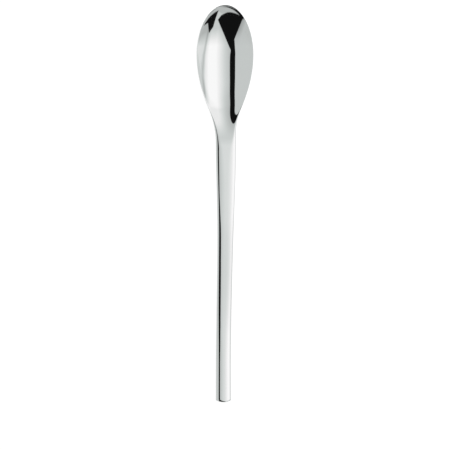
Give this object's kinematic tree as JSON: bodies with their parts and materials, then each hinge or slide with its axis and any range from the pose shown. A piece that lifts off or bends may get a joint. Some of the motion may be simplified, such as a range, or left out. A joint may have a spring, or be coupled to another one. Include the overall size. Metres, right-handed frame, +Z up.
{
  "type": "dessert spoon",
  "caption": "Slim polished steel spoon with an egg-shaped bowl, a gently raised neck and a narrow crowned handle that rests flat on its end, for eating desserts.",
  "frame": {"origin": "on the table under the centre of the spoon's bounding box, as it lies with its hollow up", "axes": "+Y along the spoon from the handle's end to the tip of the bowl, +Z up out of the hollow, +X across the bowl"},
  "size_m": [0.026, 0.18, 0.0105],
  "materials": {
    "polished_steel": "mirror-polished stainless steel"
  },
  "bodies": {
    "root": {"bowl": "polished_steel", "handle": "polished_steel"}
  },
  "joints": []
}
